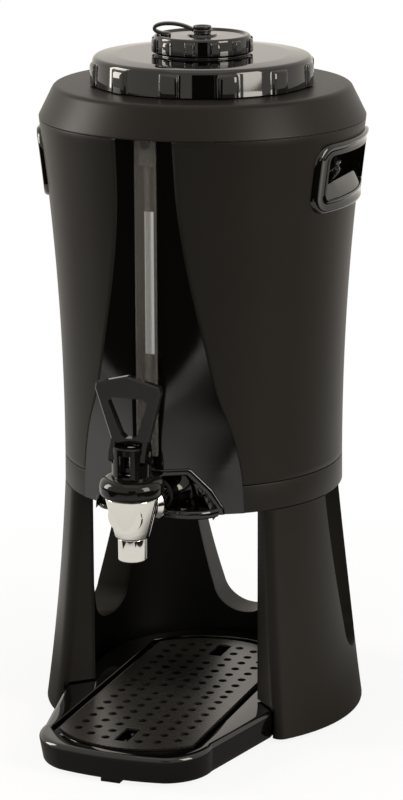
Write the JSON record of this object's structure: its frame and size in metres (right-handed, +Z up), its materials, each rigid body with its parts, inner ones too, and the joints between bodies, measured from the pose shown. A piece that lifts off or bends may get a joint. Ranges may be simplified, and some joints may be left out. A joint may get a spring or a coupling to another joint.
{
  "type": "insulated drinks dispenser",
  "caption": "Insulated drinks container with a lever tap, a sight gauge and a screw lid, on a flared stand with a drip tray and a perforated grate.",
  "frame": {"origin": "on the surface it stands on, below the container's axis", "axes": "+Z up along the container's axis, -Y towards the front with the tap and the tray, +X to the right of somebody who faces the tap"},
  "size_m": [0.23, 0.3013, 0.4887],
  "materials": {
    "satin_shell": "fine satin, warm black",
    "gloss_panel": "glossy black",
    "tap_black": "half-gloss black",
    "grate_plastic": "satin, warm black",
    "chrome_tap": "polished chrome plating",
    "steel_parts": "brushed stainless steel",
    "clear_cover": "clear plastic",
    "white_strip": "white strip",
    "black_rubber": "black rubber",
    "valve_rubber": "translucent silicone",
    "inner_plastic": "moulded food-safe plastic",
    "foam": "insulating foam"
  },
  "bodies": {
    "stand": {"stand_skirt": "satin_shell", "base_ring": "inner_plastic", "base_screws": "steel_parts", "stand_feet": "black_rubber"},
    "tray": {"drip_tray": "gloss_panel"},
    "grate": {"drip_grate": "grate_plastic"},
    "container": {"outer_shell": "satin_shell", "base_band": "satin_shell", "bottom_plate": "inner_plastic", "shoulder_collar": "satin_shell", "front_panel": "gloss_panel", "inner_vessel": "inner_plastic", "vessel_top": "inner_plastic", "foam_jacket": "foam", "foam_base": "foam", "neck_ring": "inner_plastic", "sight_cover": "clear_cover", "gauge_vent": "black_rubber", "sight_tube": "clear_cover", "gauge_top_seal": "black_rubber", "gauge_bottom_seal": "black_rubber", "gauge_backing": "white_strip", "tap_recess": "gloss_panel", "sump_housing": "inner_plastic", "tap_shank": "chrome_tap", "gauge_tee": "chrome_tap", "shank_gasket": "black_rubber", "shank_nut": "steel_parts", "outlet_elbow": "valve_rubber", "tap_body": "chrome_tap", "tap_spout": "chrome_tap", "bonnet_ring": "tap_black", "stem_tube": "tap_black", "handle_right": "gloss_panel", "handle_left": "gloss_panel"},
    "stem": {"tap_stem": "steel_parts", "seat_cup": "valve_rubber", "tap_spring": "steel_parts", "lever_pin": "steel_parts"},
    "lever": {"tap_lever": "tap_black"},
    "lid_carrier": {"lid_gasket": "black_rubber"},
    "lid": {"main_lid": "gloss_panel", "lid_liner": "inner_plastic", "lid_foam": "foam", "fill_neck": "gloss_panel"},
    "cap_carrier": {"cap_gasket": "black_rubber"},
    "cap": {"fill_cap": "gloss_panel", "plug_strap": "black_rubber"},
    "plug": {"vent_plug": "black_rubber"}
  },
  "joints": [
    {"name": "container_lift", "type": "slide", "parent": "stand", "child": "container", "axis": [0, 0, 1], "range_m": [0, 0.05]},
    {"name": "tray_slide", "type": "slide", "parent": "stand", "child": "tray", "axis": [0, -1, 0], "range_m": [0, 0.12]},
    {"name": "grate_lift", "type": "slide", "parent": "tray", "child": "grate", "axis": [0, 0, 1], "range_m": [0, 0.03]},
    {"name": "stem_lift", "type": "slide", "parent": "container", "child": "stem", "axis": [0, 0, 1], "range_m": [0, 0.0034], "deforming": ["tap_spring"]},
    {"name": "lever_tilt", "type": "hinge", "parent": "stem", "child": "lever", "pos_m": [0, -0.1366, 0.2183], "axis": [1, 0, 0], "range_deg": [0, 45], "stiffness_Nm_per_rad": 0.04, "springref_deg": -17.19},
    {"name": "lid_rise", "type": "slide", "parent": "container", "child": "lid_carrier", "axis": [0, 0, 1], "range_m": [0, 0.0085]},
    {"name": "lid_turn", "type": "hinge", "parent": "lid_carrier", "child": "lid", "pos_m": [0, 0, 0.457], "axis": [0, 0, 1], "range_deg": [0, 300]},
    {"name": "cap_rise", "type": "slide", "parent": "lid", "child": "cap_carrier", "axis": [0, 0, 1], "range_m": [0, 0.0065]},
    {"name": "cap_turn", "type": "hinge", "parent": "cap_carrier", "child": "cap", "pos_m": [0, 0, 0.475], "axis": [0, 0, 1], "range_deg": [0, 300]},
    {"name": "plug_pull", "type": "slide", "parent": "cap", "child": "plug", "axis": [0, 0, 1], "range_m": [0, 0.008], "deforming": ["plug_strap"]}
  ],
  "couplings": [
    {"joint": "stem_lift", "follows": "lever_tilt", "m_per_rad": 0.004329},
    {"joint": "lid_rise", "follows": "lid_turn", "m_per_rad": 0.001528},
    {"joint": "cap_rise", "follows": "cap_turn", "m_per_rad": 0.001146}
  ]
}
